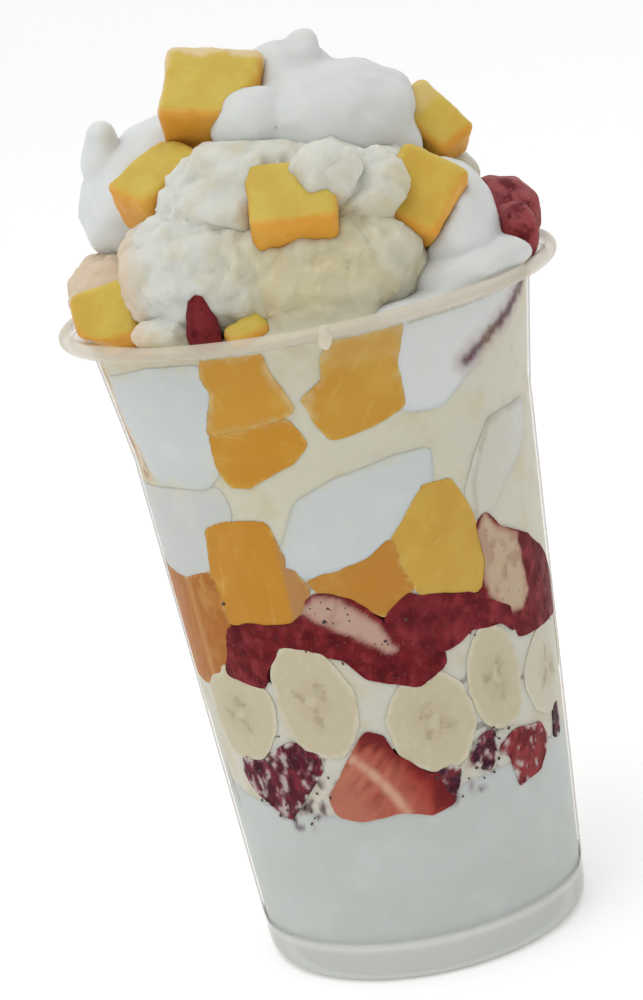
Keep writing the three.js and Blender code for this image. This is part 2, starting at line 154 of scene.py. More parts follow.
def added(name, data):
    """A new object in the scene."""
    made = bpy.data.objects.new(name, data)
    bpy.context.scene.collection.objects.link(made)
    return made


def poured(bm, mesh):
    """Puts what bm holds into a mesh."""
    bm.to_mesh(mesh)
    bm.free()
    return mesh


def copy_of(node, extra=()):
    """An object with a CAD node's mesh, and balls [centre, radii] melted into it."""
    bm = bmesh.new()
    bm.from_mesh(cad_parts[node].data)
    for centre, radii in extra:
        place = Matrix.Translation(Vector(centre) * MM) @ Matrix.Diagonal((*[r * MM for r in radii], 1))
        bmesh.ops.create_icosphere(bm, subdivisions=3, radius=1, matrix=place)
    return added("work", poured(bm, bpy.data.meshes.new("work")))


def remeshed(node, voxel, rounds, extra=()):
    """The node's form as an even, rounded mesh."""
    work = copy_of(node, extra)
    remesh = work.modifiers.new("remesh", "REMESH")
    remesh.mode = "VOXEL"
    remesh.voxel_size = voxel * MM
    smooth = work.modifiers.new("smooth", "SMOOTH")
    smooth.factor = 0.5
    smooth.iterations = rounds
    depsgraph = bpy.context.evaluated_depsgraph_get()
    mesh = bpy.data.meshes.new_from_object(work.evaluated_get(depsgraph))
    bpy.data.objects.remove(work)
    mesh.materials.clear()
    return mesh


def joined(meshes):
    """One mesh of several."""
    bm = bmesh.new()
    for mesh in meshes:
        bm.from_mesh(mesh)
    return poured(bm, bpy.data.meshes.new("joined"))


def without(mesh, drop):
    """Leaves out the vertices for which drop is true."""
    bm = bmesh.new()
    bm.from_mesh(mesh)
    bm.verts.ensure_lookup_table()
    bmesh.ops.delete(bm, geom=[bm.verts[i] for i in np.flatnonzero(drop)], context="VERTS")
    return poured(bm, mesh)


def wall_depth(p):
    """How deep each point lies behind the wall's inner face."""
    return inner(np.minimum(p[:, 2], RIM_Z)) - np.hypot(p[:, 0], p[:, 1])


def near_wall(p, far=3.6, near=1.8):
    """1 for points close behind the wall, falling to 0 away from it and over the rim."""
    return ease((far - wall_depth(p)) / (far - near)) * ease((RIM_Z + 0.2 - p[:, 2]) / 1.2)


def against_wall(p, reach, far=2.4, near=1.3):
    """Presses what lies close to the wall just into it. Returns the points and how much each touches."""
    r = np.hypot(p[:, 0], p[:, 1])
    wall = inner(p[:, 2])
    touch = ease((far - (wall - r)) / (far - near)) * ease((RIM_Z + 0.6 - p[:, 2]) / 1.5)
    touch = touch * ease((p[:, 2] - 6.2) / 1.2)
    scale = 1 + touch * ((wall + reach) / np.maximum(r, 1e-6) - 1)
    q = p.copy()
    q[:, :2] *= scale[:, None]
    return q, touch


def edge_distance(p, touch):
    """Distance of each point that touches the wall from the outline of what touches it."""
    away = np.flatnonzero(touch < 0.9)
    tree = kdtree.KDTree(len(away))
    for place, i in enumerate(away):
        tree.insert(p[i], place)
    tree.balance()
    distance = np.zeros(len(p))
    for i in np.flatnonzero(touch >= 0.9):
        distance[i] = tree.find(p[i])[2]
    return distance


def shown(name, mesh, material, slot, *replaced):
    """Adds a finished piece that rides on the part, in place of the CAD nodes it replaces."""
    mesh.name = name
    mesh.materials.clear()
    mesh.materials.append(material)
    mesh.polygons.foreach_set("use_smooth", [True] * len(mesh.polygons))
    mesh.set_sharp_from_angle(angle=SHARP_EDGE)
    piece = added(name, mesh)
    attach(piece, "root")
    if replaced:
        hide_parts(*replaced)


def segment_distance(points, start, end):
    """Distance of 2-D points from a straight line between two places."""
    start, end = np.array(start, float), np.array(end, float)
    along = np.clip(((points - start) @ (end - start)) / ((end - start) @ (end - start)), 0, 1)
    return np.linalg.norm(points - start - along[:, None] * (end - start), axis=1)


def line_distance(points, line):
    return np.min([segment_distance(points, a, b) for a, b in zip(line[:-1], line[1:])], axis=0)


def signed_inside(points, outline):
    """Distance from a closed outline, positive inside it."""
    ring = list(outline) + [outline[0]]
    inside = np.zeros(len(points), bool)
    for (x0, y0), (x1, y1) in zip(ring[:-1], ring[1:]):
        crosses = (y0 > points[:, 1]) != (y1 > points[:, 1])
        with np.errstate(divide="ignore", invalid="ignore"):
            at = (x1 - x0) * (points[:, 1] - y0) / (y1 - y0) + x0
        inside ^= crosses & (points[:, 0] < at)
    return np.where(inside, 1, -1) * line_distance(points, ring)


def spread(p, centre=0.0):
    """Points as [millimetres along the wall, height], measured from an azimuth."""
    turn = (azimuths(p) - centre + 180) % 360 - 180
    return np.stack([np.radians(turn) * ROLLED_R, p[:, 2]], axis=1)


def spread_outline(outline, centre=0.0):
    return [(math.radians(a - centre) * ROLLED_R, z) for a, z in outline]


def tinted(colour, count):
    """One colour for each of a number of points."""
    return np.tile(np.array([*colour, 1.0]), (count, 1))


def blend(tint, colour, share):
    """Mixes a colour into the tints by a share for each point."""
    share = np.clip(share, 0, 1)[:, None]
    tint[:, :3] = tint[:, :3] * (1 - share) + np.array(colour) * share


# ---------------------------------------------------------------- materials


class Shader:
    """A material with a Principled shader and short ways to add nodes."""

    def __init__(self, name, **settings):
        self.material = bpy.data.materials.new(name)
        self.material.use_nodes = True
        self.tree = self.material.node_tree
        self.surface = self.tree.nodes["Principled BSDF"]
        for key, value in settings.items():
            self.surface.inputs[key.replace("_", " ")].default_value = value

    def node(self, kind, **settings):
        made = self.tree.nodes.new(kind)
        for key, value in settings.items():
            setattr(made, key, value)
        return made

    def link(self, source, target):
        self.tree.links.new(source, target)

    def attribute(self, name, output="Fac"):
        return self.node("ShaderNodeAttribute", attribute_name=name).outputs[output]

    def texture(self, scale, detail=2.0, roughness=0.5, stretch=None, kind="ShaderNodeTexNoise"):
        """Noise or Voronoi over the piece's own millimetres."""
        made = self.node(kind)
        made.inputs["Scale"].default_value = scale
        if kind == "ShaderNodeTexNoise":
            made.inputs["Detail"].default_value = detail
            made.inputs["Roughness"].default_value = roughness
        place = self.attribute("local", "Vector")
        if stretch:
            mapping = self.node("ShaderNodeMapping")
            mapping.inputs["Scale"].default_value = stretch
            self.link(place, mapping.inputs["Vector"])
            place = mapping.outputs["Vector"]
        self.link(place, made.inputs["Vector"])
        return made.outputs["Distance" if kind == "ShaderNodeTexVoronoi" else "Fac"]

    def fade(self, value, low, high, to_low=0.0, to_high=1.0):
        made = self.node("ShaderNodeMapRange", interpolation_type="SMOOTHSTEP")
        for key, number in (("From Min", low), ("From Max", high), ("To Min", to_low), ("To Max", to_high)):
            made.inputs[key].default_value = number
        self.link(value, made.inputs["Value"])
        return made.outputs["Result"]

    def math(self, operation, *values):
        made = self.node("ShaderNodeMath", operation=operation)
        for slot, value in zip(made.inputs, values):
            if isinstance(value, (int, float)):
                slot.default_value = value
            else:
                self.link(value, slot)
        return made.outputs[0]

    def times(self, first, second):
        return self.math("MULTIPLY", first, second)

    def mix(self, share, first, second):
        made = self.node("ShaderNodeMix", data_type="RGBA")
        self.link(share, made.inputs["Factor"])
        for key, value in (("A", first), ("B", second)):
            slot = [s for s in made.inputs if s.name == key and s.type == "RGBA"][0]
            if isinstance(value, tuple):
                slot.default_value = (*value, 1)
            else:
                self.link(value, slot)
        return [s for s in made.outputs if s.type == "RGBA"][0]

    def bump(self, heights, distance):
        """Relief of a depth in millimetres from a height that runs from 0 to 1."""
        made = self.node("ShaderNodeBump")
        made.inputs["Strength"].default_value = 1.0
        made.inputs["Distance"].default_value = distance * MM
        self.link(heights, made.inputs["Height"])
        self.link(made.outputs["Normal"], self.surface.inputs["Normal"])

    def colour(self, value):
        self.link(value, self.surface.inputs["Base Color"])

    def rough(self, value):
        self.link(value, self.surface.inputs["Roughness"])


def creamy(name, spots, spot_share, grain, depth, rough):
    """Cream, yogurt or ice cream: the piece's tint with soft spots and a fine grain."""
    s = Shader(name, Subsurface_Weight=0.5, Subsurface_Scale=3.0 * MM, Specular_IOR_Level=0.15,
               Subsurface_Radius=(1.0, 0.86, 0.66))
    tint = s.attribute("tint", "Color")
    patches = s.texture(0.13, 4, 0.55)
    share = s.fade(patches, 0.48, 0.7, 0, spot_share)
    fine = s.texture(0.7, 3, 0.6)
    share = s.math("ADD", share, s.fade(fine, 0.6, 0.8, 0, spot_share * 0.5))
    s.colour(s.mix(share, tint, spots))
    s.rough(s.fade(patches, 0.3, 0.7, rough - 0.08, rough + 0.08))
    relief = s.texture(grain, 5, 0.62)
    s.bump(relief, depth)
    return s.material


def make_mango():
    s = Shader("mango", Subsurface_Weight=0.35, Subsurface_Scale=2.2 * MM, Specular_IOR_Level=0.18,
               Subsurface_Radius=(1.0, 0.6, 0.2))
    tint = s.attribute("tint", "Color")
    fibre = s.texture(0.5, 4, 0.6, stretch=(1.0, 0.22, 0.5))
    cloudy = s.texture(0.14, 4, 0.55)
    deep = s.mix(s.fade(cloudy, 0.36, 0.6, 0.22, 0), tint, linear(188, 124, 36))
    pale = s.mix(s.fade(cloudy, 0.5, 0.72, 0, 0.28), deep, linear(212, 174, 90))
    strand = s.mix(s.fade(fibre, 0.56, 0.76, 0, 0.22), pale, linear(222, 196, 128))
    edge = s.attribute("edge")
    broken = s.fade(s.texture(0.3, 2, 0.5), 0.4, 0.62, 0, 0.42)
    line = s.times(s.fade(edge, 0.2, 1.0, 1.0, 0.0), broken)
    s.colour(s.mix(line, strand, linear(224, 192, 122)))
    s.rough(s.fade(fibre, 0.3, 0.7, 0.4, 0.56))
    s.bump(fibre, 0.14)
    return s.material


def make_banana():
    s = Shader("banana", Subsurface_Weight=0.25, Subsurface_Scale=1.8 * MM, Specular_IOR_Level=0.35,
               Subsurface_Radius=(1.0, 0.8, 0.5), Roughness=0.55)
    tint = s.attribute("tint", "Color")
    face = s.node("ShaderNodeSeparateXYZ")
    s.link(s.attribute("face", "Vector"), face.inputs[0])
    wobble = s.texture(0.32, 4, 0.65)
    x = s.math("ADD", face.outputs["X"], s.times(s.math("SUBTRACT", wobble, 0.5), 0.6))
    other = s.texture(0.29, 4, 0.65, stretch=(-1.0, 1.3, 1.0))
    y = s.math("ADD", face.outputs["Y"], s.times(s.math("SUBTRACT", other, 0.5), 0.6))
    radius = s.math("SQRT", s.math("ADD", s.times(x, x), s.times(y, y)))
    turn = s.math("ARCTAN2", y, x)
    sine = s.math("ABSOLUTE", s.math("SINE", s.times(turn, 1.5)))
    arm = s.fade(s.times(radius, sine), 0.04, 0.2, 1, 0)
    arm = s.times(arm, s.fade(radius, 0.08, 0.2))
    arm = s.times(arm, s.fade(radius, 0.32, 0.56, 1, 0))
    core = s.fade(radius, 0.25, 0.62, 0.5, 0)
    front = face.outputs["Z"]
    fleck = s.texture(0.6, 4, 0.6)
    body = s.mix(s.fade(fleck, 0.46, 0.72, 0, 0.3), tint, linear(206, 200, 178))
    body = s.mix(s.times(core, front), body, BANANA_CORE)
    patchy = s.fade(s.texture(0.45, 3, 0.6), 0.36, 0.6, 0.1, 0.8)
    body = s.mix(s.times(s.times(arm, patchy), front), body, BANANA_SEED)
    middle = s.times(s.fade(radius, 0.04, 0.16, 0.5, 0), front)
    body = s.mix(middle, body, linear(202, 194, 168))
    rim = s.fade(s.attribute("edge"), 0.3, 1.5, 0.6, 0)
    s.colour(s.mix(rim, body, linear(212, 206, 184)))
    height = s.math("SUBTRACT", fleck, s.times(s.times(arm, front), 0.7))
    s.bump(height, 0.14)
    return s.material


def make_red(name, skin, dark, seed_colour, gloss):
    """Strawberry or dark fruit: skin with dimpled seeds, and cut flesh where the mask says."""
    s = Shader(name, Subsurface_Weight=0.15, Subsurface_Scale=1.2 * MM, Specular_IOR_Level=0.1,
               Subsurface_Radius=(1.0, 0.3, 0.25))
    tint = s.attribute("tint", "Color")
    blotch = s.texture(0.26, 5, 0.65)
    on_skin = s.math("SUBTRACT", 1.0, s.attribute("flesh"))
    body = s.mix(s.times(s.fade(blotch, 0.44, 0.66, 0, 0.8), on_skin), tint, dark)
    bright = s.texture(0.5, 4, 0.65, stretch=(1.0, 0.6, 1.0))
    body = s.mix(s.times(s.fade(bright, 0.54, 0.74, 0, 0.5), on_skin), body, skin)
    cells = s.texture(0.42, kind="ShaderNodeTexVoronoi")
    sparse = s.fade(s.texture(0.35, 2, 0.5), 0.42, 0.6, 0, 0.6)
    dots = s.times(s.fade(cells, 0.1, 0.26, 1.0, 0), sparse)
    body = s.mix(s.times(dots, on_skin), body, seed_colour)
    s.colour(body)
    s.rough(s.fade(blotch, 0.3, 0.7, gloss, gloss + 0.2))
    pits = s.times(s.fade(cells, 0.1, 0.4), on_skin)
    s.bump(s.math("ADD", s.times(blotch, 0.8), s.times(pits, 0.3)), 0.25)
    return s.material


def make_plastic():
    """Clear wall with a faint milky veil that thickens at the lip and the foot."""
    s = Shader("clear_plastic", Roughness=0.3, Specular_IOR_Level=0.12, IOR=1.45)
    s.colour(s.attribute("tint", "Color"))
    veil = s.attribute("veil")
    graze = s.node("ShaderNodeLayerWeight")
    graze.inputs["Blend"].default_value = 0.5
    haze = s.texture(0.08, 3, 0.6)
    added = s.fade(graze.outputs["Facing"], 0.81, 0.95, 0.0, 0.75)
    cloudy = s.fade(haze, 0.35, 0.7, -0.002, 0.004)
    s.link(s.math("ADD", s.math("ADD", veil, added), cloudy), s.surface.inputs["Alpha"])
    fine = s.texture(0.25, 2, 0.5)
    s.bump(fine, 0.12)
    return s.material


def make_seed(name, roughness, dark, pale, depth):
    s = Shader(name, Roughness=roughness)
    grain = s.texture(1.5, 3, 0.6)
    s.colour(s.mix(s.fade(grain, 0.3, 0.7), dark, pale))
    s.bump(grain, depth)
    return s.material


YOGURT_LOOK = creamy("yogurt", linear(200, 205, 201), 0.4, 0.25, 0.2, 0.55)
ICE_LOOK = creamy("ice_cream", ICE_YELLOW, 0.4, 0.4, 0.42, 0.6)
WHIP_LOOK = creamy("whipped_cream", linear(208, 212, 210), 0.4, 0.16, 0.3, 0.55)
MANGO_LOOK = make_mango()
BANANA_LOOK = make_banana()
RED_LOOK = make_red("strawberry", linear(134, 38, 42), RED_DARK, linear(60, 12, 20), 0.5)
WEDGE_LOOK = make_red("strawberry_cut", linear(186, 88, 68), linear(140, 40, 38), linear(140, 40, 38), 0.5)
BERRY_LOOK = make_red("dark_berry", linear(124, 40, 62), linear(48, 14, 28), linear(36, 12, 22), 0.45)
PLASTIC = make_plastic()
SEED = make_seed("seed", 0.4, linear(34, 18, 22), linear(70, 40, 40), 0.08)
ACHENE = make_seed("achene", 0.45, linear(74, 20, 28), linear(120, 62, 44), 0.05)


# ---------------------------------------------------------------- the cup


def cup_profile():
    """Closed section of the cup, [radius, height]: under the base, up the outside, over the lip, down."""
    outside = [(0.0, 3.4), (12, 3.4), (22.5, 3.4), (23.5, 3.2), (25.5, 1.7), (27.4, 0.25), (28.0, 0.0),
               (30.0, 0.0), (30.6, 0.08), (31.7, 0.9), (32.3, 2.0), (32.5, 3.1), (32.6, 4.5), (32.7, 6.0),
               (32.74, 6.6), (32.78, 7.1), (32.8, 7.5)]
    for z in np.r_[8.2, 8.9, 9.6, 10.3, 11.0, 11.8, 12.6, np.linspace(15, 104, 30)]:
        ring = -0.14 * math.exp(-((z - 19.2) / 0.9) ** 2) + 0.1 * math.exp(-((z - 16.8) / 1.2) ** 2)
        outside.append((float(np.interp(z, WALL_Z, WALL_R)) + ring, float(z)))
    outside += [(39.46, 106), (39.62, 107), (39.82, 108)]
    outside += [(float(np.interp(z, WALL_Z, WALL_R)), float(z)) for z in np.linspace(111, 129.5, 8)]
    outside += [(43.4, 130.3), (43.8, 131.0), (44.6, 131.5), (45.6, 131.6)]
    bead = []
    for turn in np.linspace(-165, 100, 20):
        a = math.radians(turn)
        bead.append((47.6 + 1.4 * math.cos(a), 132.1 + 1.4 * math.sin(a)))
    inside = [(46.2, 133.2), (45.2, 133.0), (44.3, 132.5), (43.6, 131.8), (42.9, 130.6)]
    inside += [(float(inner(z)), float(z)) for z in np.linspace(129.5, 9, 30)]
    inside += [(float(inner(7.4)), 7.4), (31.4, 6.7), (30.8, 6.4), (15, 6.4), (0.0, 6.4)]
    return outside + bead + inside


def make_cup():
    """The section turned round the axis, with its milky lip and foot."""
    sides = 144
    profile = cup_profile()
    verts, faces = [], []
    rows = []
    for r, z in profile:
        if r == 0.0:
            rows.append([len(verts)] * sides)
            verts.append((0.0, 0.0, z))
            continue
        rows.append(list(range(len(verts), len(verts) + sides)))
        for k in range(sides):
            turn = 2 * math.pi * k / sides
            verts.append((r * math.sin(turn), -r * math.cos(turn), z))
    for low, high in zip(rows[:-1], rows[1:]):
        for k in range(sides):
            n = (k + 1) % sides
            corners = [low[k], low[n], high[n], high[k]]
            faces.append(list(dict.fromkeys(corners)))
    mesh = bpy.data.meshes.new("cup")
    mesh.from_pydata(verts, [], faces)
    p = np.array(verts)
    place_points(mesh, p)
    r, z = np.hypot(p[:, 0], p[:, 1]), p[:, 2]
    lip = ease(z - 130.4)
    foot = ease((9.5 - z) / 2.4)
    tint = tinted(linear(184, 174, 164), len(p))
    blend(tint, RIM, lip)
    blend(tint, linear(204, 207, 201), foot)
    # Painted light: a pale band just above the foot, which lightens the shadow that the milky foot casts on
    # the yogurt behind it.
    blend(tint, linear(248, 249, 246), np.exp(-((z - 8.4) / 1.1) ** 2))
    bead = ease((r - 45.6) / 1.6)
    put(mesh, local=p, tint=tint, veil=0.003 + lip * (0.12 + 0.56 * bead) + 0.82 * foot)
    bm = bmesh.new()
    bm.from_mesh(mesh)
    bmesh.ops.recalc_face_normals(bm, faces=bm.faces)
    poured(bm, mesh)
    shown("cup_smooth", mesh, PLASTIC, "clear_plastic", "cup")


make_cup()


# ---------------------------------------------------------------- creams


FOLD_LINE = [(40, 118.6), (44, 120.2), (49, 121.7), (56, 123.5), (66, 126.5), (76, 129.5)]
STREAK_SHADOW_EDGE = [(37.6, 88), (38.6, 95.8), (43, 101.5), (47, 105.4), (57, 106), (67, 105.8)]
LEFT_SMEAR = [(-86, 127), (-86, 108), (-80, 104), (-68, 103), (-70, 110), (-76, 118), (-74, 127)]
LEFT_BERRY_FIELD = [(-58, 45), (-46, 48), (-30, 52), (-22, 47), (-20, 38), (-34, 33), (-46, 34), (-57, 40)]
RIGHT_BERRY_FIELD = [(8, 42), (22, 44), (33, 50), (40, 46), (32, 38), (15, 34)]
# Painted shadows: grey streaks on the cream at both sides.
GREY_SHADOW_STREAKS = [(-82, 37, 51), (-74, 36, 44), (67, 38, 45)]  # azimuth, lower and upper end


def marks(p, tint):
    """Marks on the creams: stains, such as the smears at the left and the smudges by the berries, and
    painted shadows: in the dark fold at the right, with the berry's red, along the streak's edge, in the
    left smear and as grey streaks at both sides.
    """
    wall = (np.abs(azimuths(p)) < 110) & (wall_depth(p) < 3) & (p[:, 2] < RIM_Z)
    flat = spread(p)
    rough = waves(p, 2.6, 11, 2)
    fold = line_distance(flat, spread_outline(FOLD_LINE))
    # The fold is a crease down to the strawberry behind: its dark red is partly the berry's own red and
    # partly painted shade in the crease, with a wider, softer painted shade beside it.
    blend(tint, linear(168, 146, 144), wall * ease(1 - (fold - 1 + rough) / 3.0) * 0.5)
    blend(tint, linear(86, 46, 54), wall * ease(1.3 - (fold + 0.6 * rough) / 1.3) * 0.9)
    streak = line_distance(flat, spread_outline(STREAK_SHADOW_EDGE))
    # Painted shadow: a soft grey line along the streak's left edge.
    blend(tint, linear(164, 158, 136), wall * ease(1 - (streak + 0.4 * rough) / 0.9) * 0.55)
    smear = signed_inside(flat, spread_outline(LEFT_SMEAR))
    blend(tint, BEIGE, wall * ease((smear + 0.8 + rough) / 1.6) * 0.8)
    # Painted shadows: brown spots inside the beige smear.
    blend(tint, SMEAR_SHADOW, wall * ease((smear + 0.2) / 1.2) * ease((waves(p, 4.0, 12, 3) - 0.12) / 0.25) * 0.7)
    for azimuth, low, high in GREY_SHADOW_STREAKS:
        line = line_distance(flat, spread_outline([(azimuth - 2, high), (azimuth + 2, low)]))
        # Painted shadow streak.
        blend(tint, linear(120, 104, 116), wall * ease(1 - (line + 0.5 * rough)) * 0.6)
    smudges = waves(p, 2.4, 14, 3)
    for field in (LEFT_BERRY_FIELD, RIGHT_BERRY_FIELD):
        inside = wall * ease((signed_inside(flat, spread_outline(field)) + 1.2 + rough) / 2.0)
        blend(tint, linear(150, 130, 138), inside * ease((smudges - 0.08) / 0.3) * 0.6)
        blend(tint, linear(70, 30, 42), inside * ease((smudges - 0.32) / 0.1) * 0.8)


# Swellings of the ice cream that bridge the lumps and creep up to the fruit: centre and radii.
ICE_SWELLS = [
    ((-12, -28, 141), (14, 9, 9)), ((-9, -24, 158), (9, 7, 6)), ((-1, -19.5, 157.5), (17, 8, 6)),
    ((-27, -33, 134.2), (5, 4, 2.6)), ((2, -29, 144), (8, 7, 8)), ((2, -37.0, 133.2), (10, 3.2, 2.8)),
    ((8, -25.5, 155), (6.5, 6, 7)), ((-27, 19, 132.5), (10, 11, 9)), ((-6, 34, 128.5), (12, 7, 4.5)),
    ((20, 32, 129), (10, 7, 5)),
]
# Corners between pieces of fruit that the cream fills: azimuth and height.
CORNERS = [
    (-12.8, 50.9), (-46.7, 80.6), (13.3, 78.8), (-35.3, 115.5), (-2.1, 79.3), (-24, 71.5), (30, 51),
    (-37, 49), (-37.3, 58.1), (-36.4, 55.2), (-9.4, 53.4), (-1.9, 51.3), (23.8, 54.5), (47.4, 51.9),
    (25.7, 50.9), (26.4, 56.1), (-18.5, 50.9), (-49.6, 62.2), (-4, 55), (48, 56), (-38.5, 61.5),
]
CORNER_R = 1.7
COLLAR_R = 3.4
LOWER_TOP = 130.9  # the lower mesh of the ice cream ends here
UPPER_LOW, UPPER_AT_WALL = 124, 129.6  # the upper one begins here, and here close to the wall
YOGURT_LOW = 6.45  # just above the cup's floor


def collar():
    """Cream that lies against the wall all round, just under the lip."""
    for azimuth in range(-180, 180, 4):
        yield on_wall(azimuth, 128.6, -COLLAR_R - 0.1), (COLLAR_R, COLLAR_R, COLLAR_R)


def make_ice_cream():
    """The filling and the heap: two meshes of the node, whose seam lies behind the lip."""
    corners = [(on_wall(azimuth, z, -1.8), (CORNER_R, CORNER_R, CORNER_R)) for azimuth, z in CORNERS]
    lower = remeshed("ice_cream", 0.95, 3, corners + list(collar()))
    lower = without(lower, points_of(lower)[:, 2] > LOWER_TOP)
    upper = remeshed("ice_cream", 0.75, 22, ICE_SWELLS + list(collar()))
    p = points_of(upper)
    upper = without(upper, (p[:, 2] < UPPER_LOW) | ((p[:, 2] < UPPER_AT_WALL) & (wall_depth(p) < 3.2)))
    mesh = joined([lower, upper])
    p, n = read(mesh)
    high = ease((p[:, 2] - 131) / 4)
    soft = waves(p, 9.0, 1, 2)
    clumps = waves(p, 3.6, 2, 2)
    crumbs = np.maximum(waves(p, 1.9, 9, 2), 0) * ease((waves(p, 8, 10) + 0.25) / 0.4)
    lumps = np.abs(waves(p + 1.2 * clumps[:, None], 9.0, 17, 2))
    craggy = 0.2 + 0.6 * soft + 2.1 * lumps + 0.7 * clumps + 0.9 * crumbs
    p = p + n * (0.45 + 1.15 * near_wall(p) + high * craggy)[:, None]
    under = np.arange(len(p)) < len(lower.vertices)
    p, _ = against_wall(p, np.where(under, 0.02, 0.05), 3.2, 2.0)
    place_points(mesh, p)
    tint = tinted(ICE_CREAM, len(p))
    whiter = ease((-8 - p[:, 0] + 6 * waves(p, 9, 3)) / 12) * ease((p[:, 2] - 132) / 6)
    blend(tint, linear(210, 213, 206), whiter * 0.95)
    yellow = ease((waves(p, 10, 4, 2) - 0.08) / 0.35)
    blend(tint, linear(199, 188, 148), high * yellow * (1 - whiter) * 0.5)
    low_middle = np.exp(-((p[:, 0] - 1) / 8) ** 2 - ((p[:, 2] - 139) / 6) ** 2) * high
    blend(tint, linear(204, 191, 144), low_middle * 0.6)
    creamy_top = ease((p[:, 2] - 148 + 4 * waves(p, 8, 5)) / 8) * (1 - 0.6 * yellow)
    blend(tint, linear(212, 213, 206), creamy_top * 0.8)
    low = ease((76 - p[:, 2]) / 14)
    blend(tint, linear(204, 201, 190), low * 0.8)
    beige = ease((-27 - p[:, 0]) / 7) * ease((p[:, 2] - 127) / 5) * ease((14 - p[:, 1]) / 10)
    blend(tint, BEIGE, beige * 0.85)
    right = ease((azimuths(p) - 20) / 30) * (1 - high) * ease((p[:, 2] - 78) / 10)
    blend(tint, linear(206, 203, 189), right * 0.6)
    marks(p, tint)
    put(mesh, local=p, tint=tint)
    shown("ice_cream_soft", mesh, ICE_LOOK, "ice_cream", "ice_cream")


def make_yogurt():
    mesh = remeshed("yogurt", 1.1, 3)
    p, n = read(mesh)
    p = p + n * (0.35 + 0.8 * near_wall(p) + 0.25 * waves(p, 6, 21, 2))[:, None]
    p, _ = against_wall(p, 0.03)
    p[:, 2] = np.maximum(p[:, 2], YOGURT_LOW)
    place_points(mesh, p)
    tint = tinted(YOGURT, len(p))
    blend(tint, linear(193, 198, 195), ease(waves(p, 14, 22, 2) / 0.4) * 0.6)
    ring = np.exp(-((p[:, 2] - 19 - 0.8 * waves(p, 20, 23)) / 1.1) ** 2)
    blend(tint, linear(188, 190, 184), ring * 0.4)
    marks(p, tint)
    put(mesh, local=p, tint=tint)
    shown("yogurt_soft", mesh, YOGURT_LOOK, "yogurt", "yogurt")


# The crisp lower edge of the white leaf at the front.
LEAF_EDGE = [(-16, 87), (-12, 84.5), (-6, 83.6), (0, 85), (8, 89), (16, 94), (24, 99.5)]


def make_whipped(node, voxel, folds, colour, seed, extra=()):
    """Smooth cream with soft folds. One with shallow folds is a patch, pressed flat against the wall."""
    patch = folds < 0.2
    mesh = remeshed(node, voxel, 6 if patch else 16, extra)
    p, n = read(mesh)
    swirl = p + 3.0 * np.stack([waves(p, 14, seed + k) for k in (40, 41, 42)], axis=1)
    ridge = 1 - 2 * np.abs(waves(swirl, 10.0, seed + 43))
    relief = folds * (0.4 + ridge + 0.5 * waves(p, 4.5, seed + 44))
    p = p + n * (0.35 + 0.8 * near_wall(p) + relief)[:, None]
    p, touch = against_wall(p, 0.06 + 0.006 * seed, 3.0, 1.9)
    place_points(mesh, p)
    tint = tinted(colour, len(p))
    # Painted shade: the troughs between folds are slightly darker and warmer.
    blend(tint, linear(206, 208, 200), ease((0.25 - ridge) / 0.6) * 0.35)
    if patch:
        edge = edge_distance(p, touch) + 0.9 * waves(p, 3.2, seed + 45, 2)
        melt = ease((2.6 - edge) / 3.0)
        if node == "whipped_patch_front":
            crisp = line_distance(spread(p), spread_outline(LEAF_EDGE))
            melt = melt * ease((crisp - 3.0) / 4.0)
            blend(tint, linear(214, 176, 128), ease((1.0 - crisp) / 0.8) * ease((1.2 - edge) / 0.8) * 0.5)
        blend(tint, ICE_CREAM, melt * 0.95)
    marks(p, tint)
    put(mesh, local=p, tint=tint)
    shown(node + "_soft", mesh, WHIP_LOOK, "whipped_cream", node)


PATCH_WHITE = linear(198, 204, 202)
# The small pointed peak of the left mound.
LEFT_PEAK = [((-34, 5, 162.5), (3.6, 4, 4)), ((-33.8, 5, 165.5), (2.7, 3, 3)),
             ((-33.3, 5, 168.2), (2.2, 2.4, 2.6))]
make_yogurt()
make_ice_cream()
make_whipped("whipped_cream_top", 0.7, 0.8, WHIPPED, 1)
make_whipped("whipped_cream_left", 0.7, 0.5, linear(217, 221, 221), 2, LEFT_PEAK)
make_whipped("whipped_cream_right", 0.7, 0.5, WHIPPED, 3)
make_whipped("whipped_cream_back", 0.9, 0.8, WHIPPED, 4)
make_whipped("whipped_patch_front", 0.6, 0.1, PATCH_WHITE, 5)
make_whipped("whipped_patch_low_left", 0.6, 0.1, linear(194, 197, 194), 6)
make_whipped("whipped_patch_high_left", 0.6, 0.1, PATCH_WHITE, 7)
make_whipped("whipped_streak_right", 0.6, 0.1, linear(203, 199, 186), 8)


# ---------------------------------------------------------------- fruit


def centre_of(node):
    """Azimuth and middle of a CAD node."""
    low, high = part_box(node)
    middle = (low + high) / 2 / MM
    return math.degrees(math.atan2(middle.x, -middle.y)), middle


def voxel_of(node, fine, hidden=0.9):
    """Mesh step of a piece, coarser at the hidden back."""
    return hidden if "back" in node else fine


wall_fruit = []


def at_wall(node, fine, uneven, seed, shape=None):
    """A piece of fruit pressed to the wall, flat where it touches the plastic.

    Each piece reaches a little further into the wall than the one before, so no two share a face.
    """
    wall_fruit.append(node)
    mesh = remeshed(node, voxel_of(node, fine), 3)
    p, n = read(mesh)
    outline = uneven * (waves(p, 6.5, seed) + 0.4 * waves(p, 2.2, seed + 1))
    p = p + n * (0.15 + 0.4 * near_wall(p) + outline)[:, None]
    if shape:
        p = shape(p)
    p, touch = against_wall(p, 0.12 + 0.007 * len(wall_fruit))
    place_points(mesh, p)
    return mesh, p, edge_distance(p, touch)


def local_frame(p, node):
    """Millimetres from the piece's middle across and up, and behind the wall."""
    azimuth, middle = centre_of(node)
    flat = spread(p, azimuth)
    return np.stack([flat[:, 0], flat[:, 1] - middle.z, wall_depth(p)], axis=1)


